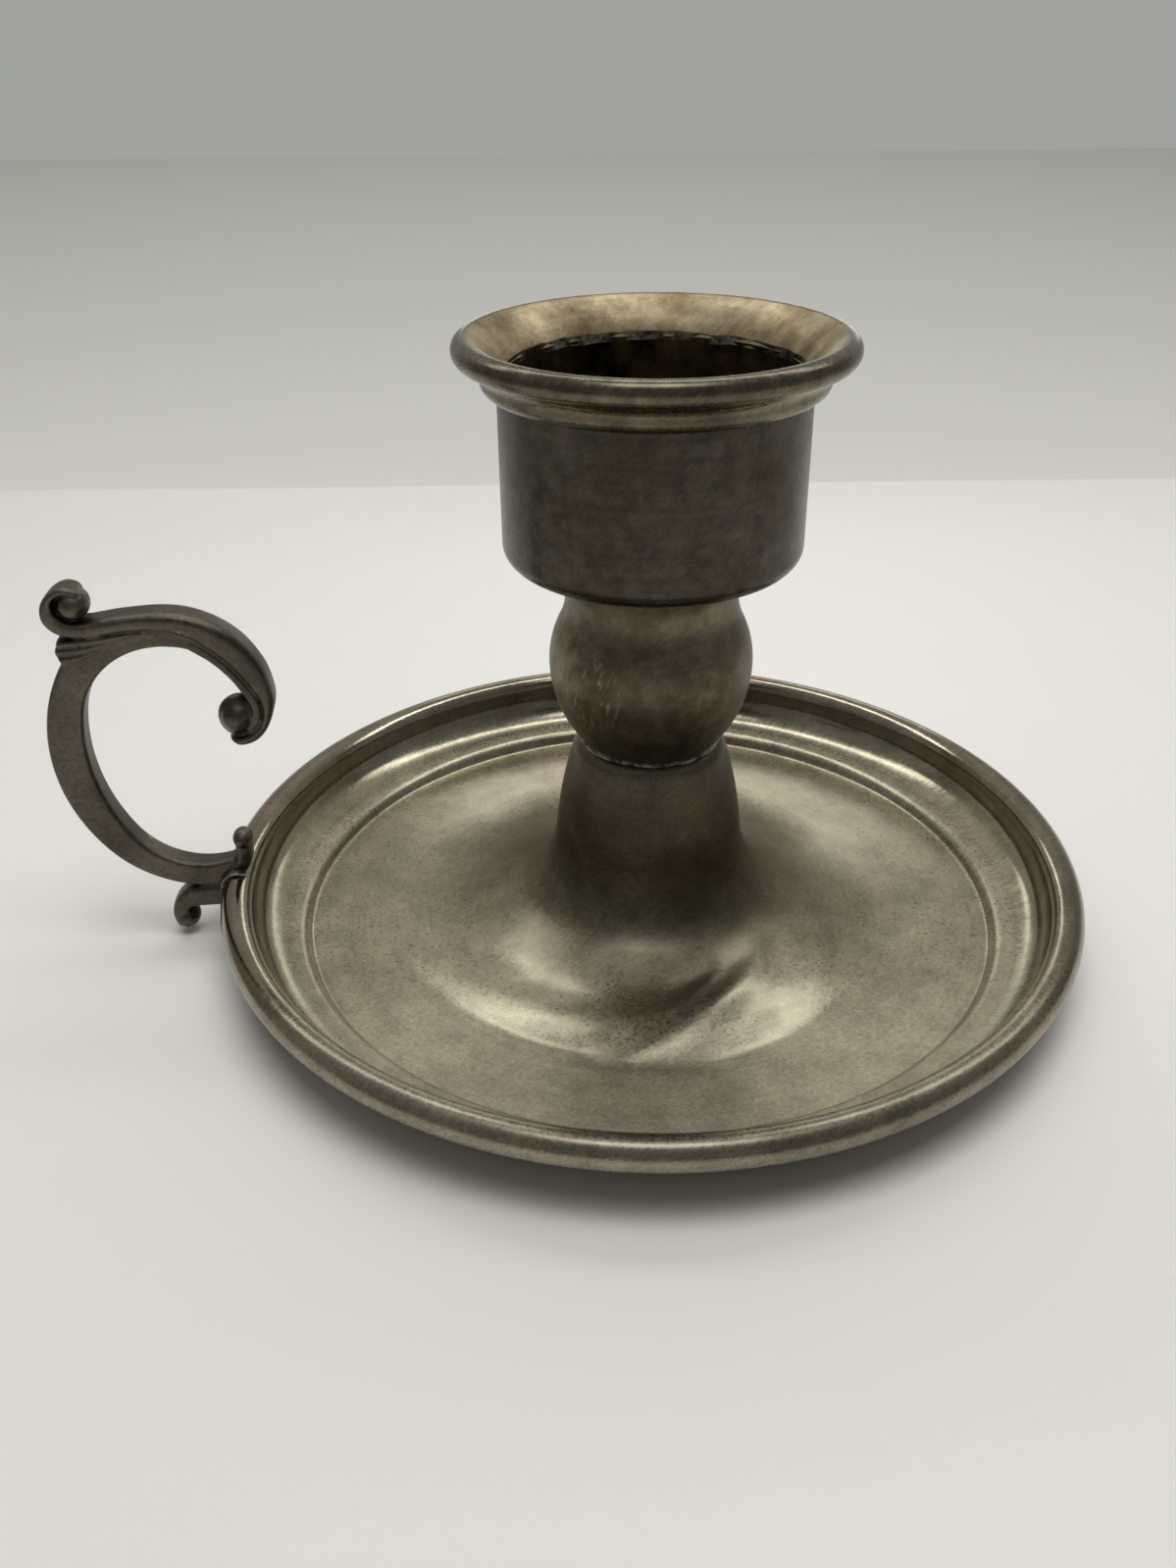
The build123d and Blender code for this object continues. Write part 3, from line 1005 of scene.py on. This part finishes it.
scroll_top = through(
    (0, -0.4), (6.6, -0.3), (9.6, -1.2), (11.9, -3.6), (12.6, -6.4), (11.9, -8.8), (10.4, -9.6),
)
scroll_under = through(
    (0, -4.5), (5.5, -4.7), (8.0, -4.6), (9.2, -5.0), (9.6, -6.2), (9.6, -7.2), (9.4, -8.2),
)
ribbon(form, scroll_top, scroll_under, (2.5, 2.5, 2.4, 2.3), tip=0.1)
ball(form, from_rim(10.3, -7.4), 2.2, 2.9)
print("straps and balls:", len(form.faces), "faces")


# %% Melting the straps into one casting
casting_voxel = 0.22
casting_passes = 3


def melt(form, voxel, passes):
    """One even skin over all in the form that overlaps, with voxels of this size in millimetres."""
    bmesh.ops.recalc_face_normals(form, faces=form.faces)
    mesh = bpy.data.meshes.new("loose_forms")
    form.to_mesh(mesh)
    form.free()
    loose = bpy.data.objects.new("loose_forms", mesh)
    scene.collection.objects.link(loose)
    skin = loose.modifiers.new("skin", "REMESH")
    skin.mode = "VOXEL"
    skin.voxel_size = voxel * mm
    soften = loose.modifiers.new("soften", "SMOOTH")
    soften.factor = 0.5
    soften.iterations = passes
    graph = bpy.context.evaluated_depsgraph_get()
    whole = bpy.data.meshes.new_from_object(loose.evaluated_get(graph))
    bpy.data.objects.remove(loose)
    melted = bmesh.new()
    melted.from_mesh(whole)
    return melted


form = melt(form, casting_voxel, casting_passes)
finish_piece(form, "scroll_handle", handle_metal, "handle")

# %% [markdown]
# ## The solder
# Solder shows as a thin, uneven ring where two pieces meet. A smooth ring would look machined, so
# each ring is turned first and its points are then pushed in and out by noise that changes round
# the joint. The noise has a seed, so that every run gives the same solder. The lumps at the
# handle's foot start from the CAD collar, which gets an even skin so that there are points enough
# to push.

# %% Solder rings
solder_seed = 5
noise.seed_set(solder_seed)


def ragged(form, size, amount):
    """Moves the points of a form by noise of this size and amount, in millimetres."""
    for vert in form.verts:
        vert.co += noise.noise_vector(vert.co / (size * mm)) * amount * mm
    return form


stem_ring_inside = 10.9
cup_ring_inside = 15.9
stem_ring = trace((stem_ring_inside, stem_top - 0.5), 0, ((0.75, 0), (0.5, 140), (1.0, 0)))
form = ragged(turn(stem_ring), 2.2, 0.18)
finish_piece(form, "stem_solder_ring", solder_metal, "stem_solder")
cup_ring = trace((cup_ring_inside, cup_base - 0.7), 0, ((0.7, 0), (0.4, 90), (0.3, 0)))
cup_ring = cup_ring + [(cup_ring_inside, cup_base)]
finish_piece(turn(cup_ring), "cup_solder_ring", solder_metal, "cup_solder")
seam = [
    (22.3, cup_top - 0.7),
    (22.9, cup_top - 0.6),
    (23.0, cup_top + 0.4),
    (22.55, cup_top + 0.7),
]
form = ragged(turn(seam), 3.2, 0.35)
finish_piece(form, "mouth_solder_seam", solder_metal, "mouth_solder")

# %% Solder at the handle's foot
lump_voxel = 0.2
lump_passes = 2
form = bmesh.new()
form.from_mesh(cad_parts["handle_solder"].data)
form = ragged(melt(form, lump_voxel, lump_passes), 1.6, 0.3)
finish_piece(form, "handle_solder_lumps", solder_metal, "handle_solder")
